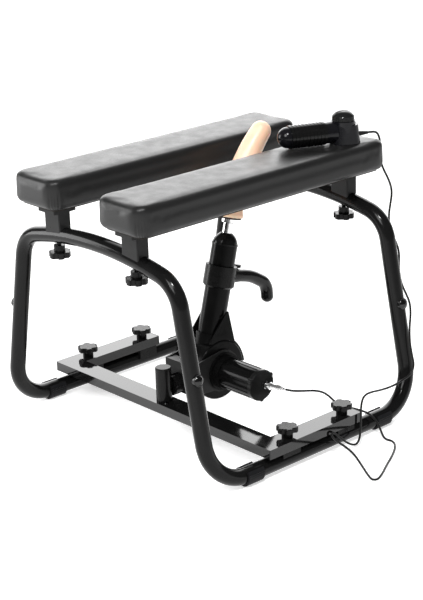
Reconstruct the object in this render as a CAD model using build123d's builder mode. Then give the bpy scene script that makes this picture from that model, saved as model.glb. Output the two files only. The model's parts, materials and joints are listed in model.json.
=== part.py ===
"""Motorised bench: two padded rails on a splayed tube stool, with a tilting drive unit between them.

Millimetres. X runs across the bench, Y along the pads, Z up. The origin is on the floor, under the
centre of the bench.
"""
import os
from math import asin, atan2, cos, degrees, pi, radians, sin, sqrt, tan

from build123d import *

os.makedirs("parts", exist_ok=True)

# ---------------------------------------------------------------- driving dimensions
TUBE_R = 16.0             # frame tube, outside radius
TUBE_WALL = 2.0
SPLAY = 11.1              # outward lean of the legs, degrees
SEAM_Z = 260.0            # joint between arch and side tubes
SEAM_X = 253.3
ARCH_Y = 275.0            # plane of each end arch
CROWN_Z = 428.4           # axis height of the arch at its middle
CROWN_R = 820.0
ARCH_CORNER_R = 67.0
SIDE_CORNER_R = 87.0
RAIL_Z = 19.6             # axis height of the floor rails

FOOT_R = 20.0             # rubber clip on the floor rail
FOOT_Y = 157.0            # inner end of a clip
FOOT_L = 40.0

BAR_LOW = 44.0            # base platform tube: underside, top
BAR_TOP = 63.6
BAR_W = 45.0
BAR_X = 325.5             # outer half width
BAR_FRONT = -148.0
BAR_REAR = 98.0
BAR_WALL = 1.6
BASE_STUD_X = 302.0
BASE_STUD_YS = (-80.0, 69.0)
STUD_R = 4.0              # M8 studs and their holes
STUD_HOLE_R = 4.4

PAD_IN, PAD_OUT = 59.0, 193.5
PAD_HALF = 325.0
PAD_LOW, PAD_TOP = 482.0, 545.0
PAD_CORNER_R = 25.0
PAD_EDGE_R = 12.0         # rounding along the top and the bottom
BOARD_T = 12.0
BOARD_LOW = 481.0
BRACKET_X = 115.0
BRACKET_PLATE_LOW = 470.0

POST_Y = -126.0
POST_TOP = 131.5
YOKE_FRONT = -84.0        # outer face of the yoke's web
YOKE_T = 4.0
YOKE_TOP = 133.0
YOKE_KNOB_Z = 90.0
YOKE_LOW = 68.0
ARM_X = 41.0              # outer face of the yoke's arms

TILT = 14.8               # backward lean of the drive tube at rest, degrees
DRIVE_Y, DRIVE_Z = -15.0, 103.4      # foot of the drive tube's axis
MOTOR_Y, MOTOR_Z = -3.0, 101.5       # tilt, crank and motor axis
DRIVE_R = 26.0
DRIVE_WALL = 2.0
RIM_S = 253.0             # distances along the drive tube from its foot
COLLAR_S = 166.0
COLLAR_L = 45.0
HANDLE_S = 189.5
SHAFT_R = 9.25
FLANGE_S = 305.0
DRUM_R = 62.0
DRUM_X = 35.0
CRANK_R = 30.0            # half the stroke
ROD_L = 95.0

GEAR_MODULE = 0.7
SMALL_TEETH, LARGE_TEETH = 12, 36
GEAR_GAP = GEAR_MODULE * (SMALL_TEETH + LARGE_TEETH) / 2

CORD_R = 2.2

# ---------------------------------------------------------------- derived frames
ca, sa = cos(radians(SPLAY)), sin(radians(SPLAY))
ct, st = cos(radians(TILT)), sin(radians(TILT))
RAIL_X = SEAM_X + tan(radians(SPLAY)) * (SEAM_Z - RAIL_Z)
LEG_RISE = (SEAM_Z - RAIL_Z) / ca

unit = Plane(origin=(0, DRIVE_Y, DRIVE_Z), x_dir=(1, 0, 0), z_dir=(0, st, ct))
unit_side = Plane(origin=(0, DRIVE_Y, DRIVE_Z), x_dir=(0, ct, -st), z_dir=(1, 0, 0))


def across(x, rise=0.0):
    """Plane square to X on the motor axis: local x is +Y, local y is +Z."""
    return Plane(origin=(x, MOTOR_Y, MOTOR_Z + rise), x_dir=(0, 1, 0), z_dir=(1, 0, 0))


def side_plane(side):
    """Plane of one side tube, leaning with the legs, its origin on the rail."""
    return Plane(origin=(side * RAIL_X, 0, RAIL_Z), x_dir=(0, 1, 0), z_dir=(ca, 0, side * sa))


def save(part, name):
    part.label = name
    export_step(part, f"parts/{name}.step")


def tube_along(path, outer, inner=0.0):
    """Round tube or bar swept along a path."""
    with BuildPart() as made:
        with BuildSketch(Plane(path @ 0, z_dir=path % 0)):
            Circle(outer)
            if inner:
                Circle(inner, mode=Mode.SUBTRACT)
        sweep(path=path)
    return made.part


def star_knob(plane, lobes, head_r, head_t, neck_r, neck_h, stud, stud_r=STUD_R):
    """Lobed clamp knob: the neck rises from the plane, the stud runs the other way."""
    with BuildPart() as made:
        with BuildSketch(plane):
            Circle(neck_r)
        extrude(amount=neck_h)
        with BuildSketch(plane.offset(neck_h - 1)):
            Circle(head_r)
            with PolarLocations(head_r * 1.12, lobes):
                Circle(head_r * 0.3, mode=Mode.SUBTRACT)
        extrude(amount=head_t)
        fillet(made.faces().sort_by(Axis(plane.origin, plane.z_dir))[-1].edges(), head_t * 0.2)
        with BuildSketch(plane):
            Circle(stud_r)
        extrude(amount=-stud)
    return made.part


# ---------------------------------------------------------------- end arches
def arch_path(y):
    """Leg, corner, crown, corner, leg: one tangent line in the plane of the arch."""
    to_corner = (SEAM_X - ARCH_CORNER_R * ca, SEAM_Z - ARCH_CORNER_R * sa - (CROWN_Z - CROWN_R))
    along = -to_corner[0] * sa + to_corner[1] * ca
    reach = (CROWN_R - ARCH_CORNER_R) ** 2 - to_corner[0] ** 2 - to_corner[1] ** 2
    leg = sqrt(along ** 2 + reach) - along
    corner = (to_corner[0] - leg * sa, to_corner[1] + leg * ca)
    half = degrees(atan2(corner[0], corner[1]))
    turn = 90 - SPLAY - half
    with BuildLine(Plane.XZ.offset(-y)) as line:
        first = Line((SEAM_X, SEAM_Z), (SEAM_X - leg * sa, SEAM_Z + leg * ca))
        bend = JernArc(first @ 1, first % 1, ARCH_CORNER_R, turn)
        crown = JernArc(bend @ 1, bend % 1, CROWN_R, 2 * half)
        bend = JernArc(crown @ 1, crown % 1, ARCH_CORNER_R, turn)
        Line(bend @ 1, (-SEAM_X, SEAM_Z))
    return line.wires()[0]


for name, y in (("front_arch_tube", -ARCH_Y), ("rear_arch_tube", ARCH_Y)):
    tube = tube_along(arch_path(y), TUBE_R, TUBE_R - TUBE_WALL)
    with BuildPart() as arch:
        add(tube)
        with Locations((BRACKET_X, y, CROWN_Z), (-BRACKET_X, y, CROWN_Z)):
            Cylinder(STUD_HOLE_R, 90, mode=Mode.SUBTRACT)
    save(arch.part, name)

# ---------------------------------------------------------------- side tubes with the floor rails
LEG_BOLT_DROP = {-1: 18.0, 1: 35.0}      # below the seam, left and right
BOLT_HOLE_R = 3.3


def side_path(side):
    """Front leg, floor rail and rear leg of one side."""
    with BuildLine(side_plane(side)) as line:
        FilletPolyline((-ARCH_Y, LEG_RISE), (-ARCH_Y, 0), (ARCH_Y, 0), (ARCH_Y, LEG_RISE),
                       radius=SIDE_CORNER_R)
    return line.wires()[0]


for name, side in (("left_side_tube", -1), ("right_side_tube", 1)):
    tube = tube_along(side_path(side), TUBE_R, TUBE_R - TUBE_WALL)
    with BuildPart() as side_tube:
        add(tube)
        with BuildSketch(side_plane(side)):
            with Locations(*[(y, LEG_RISE - LEG_BOLT_DROP[side]) for y in (-ARCH_Y, ARCH_Y)]):
                Circle(BOLT_HOLE_R)
        extrude(amount=side * 30, mode=Mode.SUBTRACT)
        with BuildSketch(Plane.XY.offset(RAIL_Z)):
            with Locations(*[(side * BASE_STUD_X, y) for y in BASE_STUD_YS]):
                Circle(STUD_HOLE_R)
        extrude(amount=30, mode=Mode.SUBTRACT)
    save(side_tube.part, name)

# ---------------------------------------------------------------- leg joints: spigots, bolts, nuts
leg_corners = [(side, y) for side in (-1, 1) for y in (-ARCH_Y, ARCH_Y)]
SPIGOT_R = TUBE_R - TUBE_WALL
with BuildPart() as leg_spigots:
    for side, y in leg_corners:
        joint = side_plane(side)
        seam = Plane(origin=joint.from_local_coords((y, LEG_RISE, 0)), z_dir=joint.y_dir)
        with BuildSketch(seam.offset(-60)):
            Circle(SPIGOT_R)
            Circle(SPIGOT_R - 2.2, mode=Mode.SUBTRACT)
        extrude(amount=100)
        with BuildSketch(joint):
            with Locations((y, LEG_RISE - LEG_BOLT_DROP[side])):
                Circle(BOLT_HOLE_R)
        extrude(amount=side * 30, mode=Mode.SUBTRACT)
save(leg_spigots.part, "leg_spigots")

BOLT_HEAD_R = 10.0
BOLT_HEAD_H = 5.5
WASHER_R = 11.5
WASHER_TOP = TUBE_R + 2.0
BOLT_TOP = WASHER_TOP + BOLT_HEAD_H
BOLT_DOME_R = (BOLT_HEAD_R ** 2 + BOLT_HEAD_H ** 2) / (2 * BOLT_HEAD_H)
half = asin(BOLT_HEAD_R / BOLT_DOME_R) / 2
POST_SCREW = (19.0, POST_Y - 10)
with BuildPart() as frame_fasteners:
    for side, y in leg_corners:
        flat = side_plane(side)
        seat = flat.from_local_coords((y, LEG_RISE - LEG_BOLT_DROP[side], 0))
        out = Plane(origin=seat, x_dir=(0, 1, 0), z_dir=flat.z_dir * side)
        with BuildSketch(out.offset(9)):
            Circle(WASHER_R)
        extrude(amount=WASHER_TOP - 9)
        with BuildSketch(Plane(origin=seat, z_dir=flat.y_dir).offset(-2 * WASHER_R)):
            Circle(TUBE_R)
        extrude(amount=4 * WASHER_R, mode=Mode.SUBTRACT)
        with BuildSketch(Plane(origin=seat, x_dir=(0, 1, 0), z_dir=out.x_dir.cross(out.z_dir))):
            with BuildLine():
                Line((0, WASHER_TOP), (BOLT_HEAD_R, WASHER_TOP))
                ThreePointArc((BOLT_HEAD_R, WASHER_TOP),
                              (BOLT_DOME_R * sin(half), BOLT_TOP - BOLT_DOME_R * (1 - cos(half))),
                              (0, BOLT_TOP))
                Line((0, BOLT_TOP), (0, WASHER_TOP))
            make_face()
        revolve(axis=Axis(seat, out.z_dir))
        with BuildSketch(out.offset(4)):
            Circle(3.0)
        extrude(amount=WASHER_TOP - 3)
        with BuildSketch(out.offset(4.5)):
            RegularPolygon(6.0, 6)
        extrude(amount=5.4)
    with BuildSketch(Plane.XY.offset(BAR_TOP)):
        with Locations(POST_SCREW):
            Circle(4.5)
    extrude(amount=3, taper=25)
    with BuildSketch(Plane.XY.offset(BAR_TOP + 3)):
        with Locations(POST_SCREW):
            Rectangle(4.4, 0.9)
            Rectangle(0.9, 4.4)
    extrude(amount=-1.4, mode=Mode.SUBTRACT)
save(frame_fasteners.part, "frame_fasteners")

# ---------------------------------------------------------------- rubber feet on the rails
FOOT_MOUTH = 50.0         # half angle of the clip's open top, degrees
with BuildPart() as foot_sleeves:
    for side, end in ((-1, -1), (-1, 1), (1, -1), (1, 1)):
        with BuildSketch(Plane.XZ.offset(-end * FOOT_Y)):
            with Locations((side * RAIL_X, RAIL_Z)):
                Circle(FOOT_R)
                with PolarLocations(FOOT_R, 5, start_angle=150, angular_range=60):
                    Rectangle(1.6, 1.8, mode=Mode.SUBTRACT)
                with PolarLocations(FOOT_R, 5, start_angle=-30, angular_range=60):
                    Rectangle(1.6, 1.8, mode=Mode.SUBTRACT)
            with BuildLine():
                lip = (FOOT_R + 5) * tan(radians(FOOT_MOUTH))
                Polyline((side * RAIL_X, RAIL_Z), (side * RAIL_X + lip, RAIL_Z + FOOT_R + 5),
                         (side * RAIL_X - lip, RAIL_Z + FOOT_R + 5), close=True)
            make_face(mode=Mode.SUBTRACT)
        extrude(amount=-end * FOOT_L)
    for side in (-1, 1):
        add(tube_along(side_path(side), TUBE_R), mode=Mode.SUBTRACT)
    with BuildSketch(Plane.XY):
        Rectangle(3 * RAIL_X, 3 * ARCH_Y)
    extrude(amount=-10, mode=Mode.SUBTRACT)
save(foot_sleeves.part, "foot_sleeves")

# ---------------------------------------------------------------- base platform
bar_long = BAR_REAR - BAR_FRONT


def bar_outline(wall, rear):
    """Plan of the U-shaped platform, drawn wall inside its faces and as far as rear."""
    with BuildSketch() as plan:
        with BuildLine():
            x_out, x_in = BAR_X - wall, BAR_X - BAR_W + wall
            y_out, y_in = BAR_FRONT + wall, BAR_FRONT + BAR_W - wall
            Polyline((-x_out, y_out), (x_out, y_out), (x_out, rear), (x_in, rear), (x_in, y_in),
                     (-x_in, y_in), (-x_in, rear), (-x_out, rear), close=True)
        make_face()
    return plan.sketch


with BuildPart() as base_frame:
    with BuildSketch(Plane.XY.offset(BAR_LOW)):
        add(bar_outline(0, BAR_REAR))
    extrude(amount=BAR_TOP - BAR_LOW)
    fillet(base_frame.edges().filter_by(Axis.Z).sort_by(SortBy.DISTANCE)[-2:], 2)
    with BuildSketch(Plane.XY.offset(BAR_LOW + BAR_WALL)):
        add(bar_outline(BAR_WALL, BAR_REAR + 1))
    extrude(amount=BAR_TOP - BAR_LOW - 2 * BAR_WALL, mode=Mode.SUBTRACT)
    with BuildSketch(Plane.XY.offset(BAR_LOW - 1)):
        with Locations(*[(side * BASE_STUD_X, y) for side in (-1, 1) for y in BASE_STUD_YS]):
            Circle(STUD_HOLE_R)
    extrude(amount=30, mode=Mode.SUBTRACT)
save(base_frame.part, "base_frame")

with BuildPart() as bar_end_caps:
    for side in (-1, 1):
        mid = (side * (BAR_X - BAR_W / 2), (BAR_LOW + BAR_TOP) / 2)
        with BuildSketch(Plane.XZ.offset(-BAR_REAR)):
            with Locations(mid):
                RectangleRounded(BAR_W, BAR_TOP - BAR_LOW, 1.5)
        extrude(amount=-2.5)
        with BuildSketch(Plane.XZ.offset(-BAR_REAR)):
            with Locations(mid):
                Rectangle(BAR_W - 2 * BAR_WALL - 0.2, BAR_TOP - BAR_LOW - 2 * BAR_WALL - 0.2)
        extrude(amount=14)
save(bar_end_caps.part, "bar_end_caps")

SADDLE_L = 46.0
with BuildPart() as rail_saddles:
    with BuildSketch(Plane.XY.offset(RAIL_Z + 3)):
        with Locations(*[(side * (RAIL_X - 3), y) for side in (-1, 1) for y in BASE_STUD_YS]):
            Rectangle(34, SADDLE_L)
    extrude(amount=BAR_LOW - RAIL_Z - 3)
    for side in (-1, 1):
        with BuildSketch(Plane.XZ.offset(-BAR_REAR)):
            with Locations((side * RAIL_X, RAIL_Z)):
                Circle(TUBE_R)
        extrude(amount=2 * bar_long, mode=Mode.SUBTRACT)
    with BuildSketch(Plane.XY.offset(RAIL_Z)):
        with Locations(*[(side * BASE_STUD_X, y) for side in (-1, 1) for y in BASE_STUD_YS]):
            Circle(STUD_HOLE_R)
    extrude(amount=30, mode=Mode.SUBTRACT)
save(rail_saddles.part, "rail_saddles")

BASE_NECK_H = 12.5
knob_spots = [(side, y) for side in (-1, 1) for y in BASE_STUD_YS]
for number, (side, y) in enumerate(knob_spots, start=1):
    seat = Plane(origin=(side * BASE_STUD_X, y, BAR_TOP + 0.3))
    knob = star_knob(seat, 6, 21, 10, 11, BASE_NECK_H, BAR_TOP - RAIL_Z - 9)
    save(knob, f"base_knob_{number}")

# ---------------------------------------------------------------- pads, boards and their brackets
TUBE_AT_BRACKET_Z = CROWN_Z - CROWN_R + sqrt(CROWN_R ** 2 - BRACKET_X ** 2)
for name, side in (("left", -1), ("right", 1)):
    mid_x = side * (PAD_IN + PAD_OUT) / 2
    pad_w = PAD_OUT - PAD_IN
    with BuildPart() as pad:
        with BuildSketch(Plane.XY.offset(PAD_LOW)):
            with Locations((mid_x, 0)):
                RectangleRounded(pad_w, 2 * PAD_HALF, PAD_CORNER_R)
        extrude(amount=PAD_TOP - PAD_LOW)
        fillet(pad.faces().sort_by(Axis.Z)[-1].edges(), PAD_EDGE_R)
        fillet(pad.faces().sort_by(Axis.Z)[0].edges(), PAD_EDGE_R)
        with BuildSketch(Plane.XY.offset(PAD_LOW)):
            with Locations((mid_x, 0)):
                RectangleRounded(pad_w - 30, 2 * PAD_HALF - 30, PAD_CORNER_R - 15)
        extrude(amount=BOARD_T - 1, mode=Mode.SUBTRACT)
    save(pad.part, f"{name}_pad")

pad_mid = (PAD_IN + PAD_OUT) / 2
with BuildPart() as pad_boards:
    with BuildSketch(Plane.XY.offset(BOARD_LOW)):
        with Locations((-pad_mid, 0), (pad_mid, 0)):
            RectangleRounded(pad_w - 30, 2 * PAD_HALF - 30, PAD_CORNER_R - 15)
    extrude(amount=BOARD_T)
    with BuildSketch(Plane.XY.offset(BOARD_LOW)):
        with GridLocations(2 * BRACKET_X, 2 * ARCH_Y, 2, 2):
            Circle(STUD_HOLE_R)
    extrude(amount=BOARD_T, mode=Mode.SUBTRACT)
save(pad_boards.part, "pad_boards")

with BuildPart() as pad_brackets:
    with BuildSketch(Plane.XY.offset(BRACKET_PLATE_LOW)):
        with GridLocations(2 * BRACKET_X, 2 * ARCH_Y, 2, 2):
            RectangleRounded(52, 52, 3)
    extrude(amount=BOARD_LOW - BRACKET_PLATE_LOW)
    with BuildSketch(Plane.XY.offset(TUBE_AT_BRACKET_Z + 2)):
        with GridLocations(2 * BRACKET_X, 2 * ARCH_Y, 2, 2):
            RectangleRounded(46, 28, 3)
    extrude(amount=BRACKET_PLATE_LOW - TUBE_AT_BRACKET_Z - 2)
    for y in (-ARCH_Y, ARCH_Y):
        add(tube_along(arch_path(y), TUBE_R), mode=Mode.SUBTRACT)
    with BuildSketch(Plane.XY.offset(TUBE_AT_BRACKET_Z)):
        with GridLocations(2 * BRACKET_X, 2 * ARCH_Y, 2, 2):
            Circle(STUD_HOLE_R)
    extrude(amount=80, mode=Mode.SUBTRACT)
save(pad_brackets.part, "pad_brackets")

PAD_NECK_H = 14.0
PAD_KNOB_DROP = 19.5      # the sloping tube's underside is lower at the knob's rim
arch_spots = [(side, y) for side in (-1, 1) for y in (-ARCH_Y, ARCH_Y)]
for number, (side, y) in enumerate(arch_spots, start=1):
    seat = Plane(origin=(side * BRACKET_X, y, TUBE_AT_BRACKET_Z - PAD_KNOB_DROP), x_dir=(1, 0, 0),
                 z_dir=(0, 0, -1))
    stud_up = BOARD_LOW + 9 - (TUBE_AT_BRACKET_Z - PAD_KNOB_DROP)
    save(star_knob(seat, 6, 21, 12, 11, PAD_NECK_H, stud_up), f"pad_knob_{number}")

# ---------------------------------------------------------------- post, its cap and the yoke
with BuildPart() as post_tube:
    with BuildSketch(Plane.XY.offset(BAR_TOP)):
        with Locations((0, POST_Y)):
            Circle(TUBE_R)
            Circle(TUBE_R - TUBE_WALL, mode=Mode.SUBTRACT)
    extrude(amount=POST_TOP - BAR_TOP)
    with BuildSketch(Plane.XZ.offset(-POST_Y)):
        with Locations((0, YOKE_KNOB_Z)):
            Circle(STUD_HOLE_R)
    extrude(amount=-30, mode=Mode.SUBTRACT)
save(post_tube.part, "post_tube")

with BuildPart() as post_cap:
    with BuildSketch(Plane.XY.offset(POST_TOP)):
        with Locations((0, POST_Y)):
            Circle(TUBE_R)
    extrude(amount=3.5)
    fillet(post_cap.faces().sort_by(Axis.Z)[-1].edges(), 2)
    with BuildSketch(Plane.XY.offset(POST_TOP)):
        with Locations((0, POST_Y)):
            Circle(TUBE_R - TUBE_WALL - 0.1)
            Circle(TUBE_R - TUBE_WALL - 2.5, mode=Mode.SUBTRACT)
    extrude(amount=-14)
save(post_cap.part, "post_cap")

TRUNNION_R = 36.5         # ring of the gearhead that turns in the yoke's right arm
YOKE_SHELF = 21.0         # depth of the yoke's top plate
PIVOT_R = 9.0             # pivot pin on the crank cover, in the left arm
web_mid = (YOKE_LOW + YOKE_TOP) / 2
with BuildPart() as swing_yoke:
    with BuildSketch(Plane.XZ.offset(-YOKE_FRONT)):
        with Locations((0, web_mid)):
            Rectangle(2 * ARM_X, YOKE_TOP - YOKE_LOW)
    extrude(amount=-YOKE_T)
    with BuildSketch(Plane.XY.offset(YOKE_TOP)):
        with Locations((0, YOKE_FRONT + YOKE_SHELF / 2)):
            Rectangle(2 * ARM_X, YOKE_SHELF)
    extrude(amount=-3)
    for left in (-ARM_X, ARM_X - YOKE_T):
        with BuildSketch(across(left)):
            with BuildLine():
                foot, front = YOKE_LOW - MOTOR_Z, YOKE_FRONT - MOTOR_Y
                Polyline((front, foot), (0, foot - 4), (0, TRUNNION_R + 7), (front, YOKE_TOP - MOTOR_Z),
                         close=True)
            make_face()
            Circle(TRUNNION_R + 7)
            Circle(TRUNNION_R + 0.3 if left > 0 else PIVOT_R + 0.3, mode=Mode.SUBTRACT)
        extrude(amount=YOKE_T)
    with BuildSketch(Plane.XZ.offset(-YOKE_FRONT)):
        with Locations((0, YOKE_KNOB_Z)):
            Circle(STUD_HOLE_R)
    extrude(amount=-YOKE_T, mode=Mode.SUBTRACT)
save(swing_yoke.part, "swing_yoke")

yoke_seat = Plane(origin=(0, POST_Y + TUBE_R + 1.0, YOKE_KNOB_Z), x_dir=(1, 0, 0), z_dir=(0, 1, 0))
YOKE_KNOB_T = YOKE_FRONT - (POST_Y + TUBE_R) - 2.0
with BuildPart() as yoke_knob:
    with BuildSketch(yoke_seat):
        Circle(21)
        with PolarLocations(23.5, 8):
            Circle(5, mode=Mode.SUBTRACT)
    extrude(amount=YOKE_KNOB_T)
    fillet(yoke_knob.faces().sort_by(Axis.Y)[-1].edges(), 1.5)
    with BuildSketch(yoke_seat.offset(-10)):
        Circle(STUD_R)
    extrude(amount=YOKE_KNOB_T + 22)
save(yoke_knob.part, "yoke_knob")

# ---------------------------------------------------------------- crank housing of the drive unit
DRUM_WALL = 4.0
NECK_R = 30.0
NECK_TOP = 72.0
SEAT_S = 64.0             # the drive tube stands on this shoulder
OUTPUT_SHAFT_R = 8.0
with BuildPart() as crank_housing:
    with BuildSketch(across(-DRUM_X)):
        Circle(DRUM_R)
    extrude(amount=2 * DRUM_X)
    fillet(crank_housing.edges().filter_by(GeomType.CIRCLE).sort_by(Axis.X)[-1], 4)
    with BuildSketch(unit):
        Circle(NECK_R)
    extrude(amount=NECK_TOP)
    with BuildSketch(across(-DRUM_X)):
        Circle(DRUM_R - DRUM_WALL)
    extrude(amount=2 * DRUM_X - DRUM_WALL, mode=Mode.SUBTRACT)
    with BuildSketch(across(DRUM_X - DRUM_WALL)):
        Circle(OUTPUT_SHAFT_R + 0.06)
    extrude(amount=DRUM_WALL, mode=Mode.SUBTRACT)
    with BuildSketch(unit):
        Circle(DRIVE_R - DRIVE_WALL)
    extrude(amount=NECK_TOP, mode=Mode.SUBTRACT)
    with BuildSketch(unit.offset(SEAT_S)):
        Circle(DRIVE_R)
    extrude(amount=NECK_TOP, mode=Mode.SUBTRACT)
save(crank_housing.part, "crank_housing")

with BuildPart() as crank_cover:
    with BuildSketch(across(-DRUM_X)):
        Circle(DRUM_R)
    extrude(amount=-1.5)
    with BuildSketch(across(-DRUM_X)):
        Circle(DRUM_R - DRUM_WALL - 0.15)
        Circle(DRUM_R - DRUM_WALL - 3, mode=Mode.SUBTRACT)
    extrude(amount=5)
    with BuildSketch(across(-DRUM_X - 1.5)):
        Circle(PIVOT_R)
    extrude(amount=-8)
save(crank_cover.part, "crank_cover")

CHEEK_X = DRIVE_R + 4.2
CHEEK_T = 3.0
stub_line = Edge.make_line(unit.from_local_coords((0, 0, 90)), unit.from_local_coords((0, 0, 130)))
tube_stub = tube_along(stub_line, DRIVE_R)
with BuildPart() as cheek_plates:
    for inner in (CHEEK_X, -CHEEK_X - CHEEK_T):
        with BuildSketch(unit_side.offset(inner)):
            with BuildLine():
                Polyline((4, 122), (8, 122), (43, 54), (-30, 54), close=True)
            make_face()
        extrude(amount=CHEEK_T)
    for side in (-1, 1):
        boss = Plane(origin=unit_side.from_local_coords((0, 108, side * CHEEK_X)), x_dir=(0, 1, 0),
                     z_dir=(-side, 0, 0))
        with BuildSketch(boss):
            Circle(6)
        extrude(amount=5.5)
    add(tube_stub, mode=Mode.SUBTRACT)
    with BuildSketch(across(-50)):
        Circle(DRUM_R + 0.2)
    extrude(amount=100, mode=Mode.SUBTRACT)
save(cheek_plates.part, "cheek_plates")

with BuildPart() as crank_guard:
    with BuildSketch(across(10)):
        with BuildLine():
            inner, outer = [[((DRUM_R + rise) * cos(radians(a)), (DRUM_R + rise) * sin(radians(a)))
                             for rise, a in zip(rises, (-1, 22, 45))]
                            for rises in ((0.2, 0.2, 0.2), (9, 6, 5))]
            ThreePointArc(*inner)
            Line(inner[-1], outer[-1])
            ThreePointArc(*reversed(outer))
            Line(outer[0], inner[0])
        make_face()
    extrude(amount=18)
save(crank_guard.part, "crank_guard")

# ---------------------------------------------------------------- drive tube, dome, guides
with BuildPart() as drive_tube:
    with BuildSketch(unit.offset(SEAT_S)):
        Circle(DRIVE_R)
        Circle(DRIVE_R - DRIVE_WALL, mode=Mode.SUBTRACT)
    extrude(amount=RIM_S - SEAT_S)
save(drive_tube.part, "drive_tube")

DOME_H = 24.0
BORE_R = SHAFT_R + 0.08
with BuildPart() as tube_dome:
    with BuildSketch(unit_side):
        with BuildLine():
            Polyline((BORE_R, RIM_S - 12), (DRIVE_R - DRIVE_WALL, RIM_S - 12), (DRIVE_R - DRIVE_WALL, RIM_S),
                     (DRIVE_R + 1, RIM_S), (DRIVE_R + 1, RIM_S + 3), (DRIVE_R - 0.5, RIM_S + 3))
            ThreePointArc((DRIVE_R - 0.5, RIM_S + 3), (20.5, RIM_S + 15), (BORE_R + 2, RIM_S + DOME_H))
            Polyline((BORE_R + 2, RIM_S + DOME_H), (BORE_R, RIM_S + DOME_H), (BORE_R, RIM_S - 12))
        make_face()
    revolve(axis=Axis(unit.origin, unit.z_dir))
save(tube_dome.part, "tube_dome")

CROSSHEAD_R = DRIVE_R - DRIVE_WALL - 0.08
crank_axis = unit_side.to_local_coords(Vector(0, MOTOR_Y, MOTOR_Z))
PISTON_S = crank_axis.Y - CRANK_R + sqrt(ROD_L ** 2 - crank_axis.X ** 2)     # rod's small end at rest
with BuildPart() as shaft_bush:
    with BuildSketch(unit.offset(200)):
        Circle(DRIVE_R - DRIVE_WALL)
        Circle(BORE_R, mode=Mode.SUBTRACT)
    extrude(amount=22)
save(shaft_bush.part, "shaft_bush")

# ---------------------------------------------------------------- moving shaft and connecting rod
with BuildPart() as crosshead:
    with BuildSketch(unit.offset(PISTON_S - 8)):
        Circle(CROSSHEAD_R)
    extrude(amount=34)
    with BuildSketch(unit.offset(PISTON_S - 8)):
        Rectangle(11, 60)
    extrude(amount=22, mode=Mode.SUBTRACT)
    with BuildSketch(unit_side):
        with Locations((0, PISTON_S)):
            Circle(4)
    extrude(amount=30, both=True, mode=Mode.SUBTRACT)
save(crosshead.part, "crosshead")

SHAFT_FOOT = PISTON_S + 26
with BuildPart() as thrust_shaft:
    with BuildSketch(unit.offset(SHAFT_FOOT)):
        Circle(SHAFT_R)
    extrude(amount=FLANGE_S - SHAFT_FOOT)
    fillet(thrust_shaft.faces().sort_by(Axis.Z)[-1].edges(), 0.8)
save(thrust_shaft.part, "thrust_shaft")

big_end = (crank_axis.X, crank_axis.Y - CRANK_R)
small_end = (0.0, PISTON_S)
ROD_HALF = 5.0
with BuildPart() as connecting_rod:
    with BuildSketch(unit_side.offset(-ROD_HALF)):
        with Locations(big_end):
            Circle(9)
        with Locations(small_end):
            Circle(7.5)
        with BuildLine():
            Polyline((big_end[0] - 3.5, big_end[1]), (big_end[0] + 3.5, big_end[1]),
                     (small_end[0] + 3.5, small_end[1]), (small_end[0] - 3.5, small_end[1]), close=True)
        make_face()
        with Locations(big_end, small_end):
            Circle(4, mode=Mode.SUBTRACT)
    extrude(amount=2 * ROD_HALF)
save(connecting_rod.part, "connecting_rod")

with BuildPart() as rod_pins:
    with BuildSketch(unit_side.offset(-ROD_HALF - 1)):
        with Locations(big_end):
            Circle(4)
    extrude(amount=2 * ROD_HALF + 3)
    with BuildSketch(unit_side.offset(-20)):
        with Locations(small_end):
            Circle(4)
    extrude(amount=40)
save(rod_pins.part, "rod_pins")

# ---------------------------------------------------------------- flange, socket disc and attachment
with BuildPart() as shaft_flange:
    with BuildSketch(unit.offset(FLANGE_S - 7)):
        Circle(14)
        Circle(SHAFT_R, mode=Mode.SUBTRACT)
    extrude(amount=7)
    with BuildSketch(unit.offset(FLANGE_S)):
        Circle(14)
    extrude(amount=2)
    chamfer(shaft_flange.faces().sort_by(Axis.Z)[0].edges(), 1)
save(shaft_flange.part, "shaft_flange")

DISC_S = FLANGE_S + 2
ATTACH_R = 24.5
with BuildPart() as attachment_disc:
    with BuildSketch(unit.offset(DISC_S)):
        Circle(ATTACH_R)
    extrude(amount=4)
save(attachment_disc.part, "attachment_disc")

ATTACH_BEND = 31.0        # total turn of the attachment's axis, degrees
ATTACH_ARC_R = 340.0
TIP_R = 20.7
FLARE_R = 28.0
FLARE_H = 26.0
with BuildLine(unit_side) as spine:
    JernArc((0, DISC_S + 4), (0, 1), ATTACH_ARC_R, -ATTACH_BEND)
spine_wire = spine.wires()[0]
with BuildPart() as attachment:
    for along, radius in ((0, ATTACH_R), (0.5, ATTACH_R), (1, TIP_R)):
        with BuildSketch(Plane(spine_wire @ along, x_dir=(1, 0, 0), z_dir=spine_wire % along)):
            Circle(radius)
    sweep(path=spine_wire, multisection=True)
    tip_plane = Plane(spine_wire @ 1, x_dir=(1, 0, 0), z_dir=spine_wire % 1)
    with Locations(tip_plane.location):
        Sphere(TIP_R)
    with BuildSketch(unit_side):
        with BuildLine():
            foot = DISC_S + 4
            Polyline((0, foot + FLARE_H), (0, foot), (FLARE_R, foot), (FLARE_R, foot + 5))
            ThreePointArc((FLARE_R, foot + 5), (ATTACH_R + 1, foot + 13), (ATTACH_R - 1, foot + FLARE_H))
            Line((ATTACH_R - 1, foot + FLARE_H), (0, foot + FLARE_H))
        make_face()
    revolve(axis=Axis(unit.origin, unit.z_dir))
save(attachment.part, "attachment")

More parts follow.
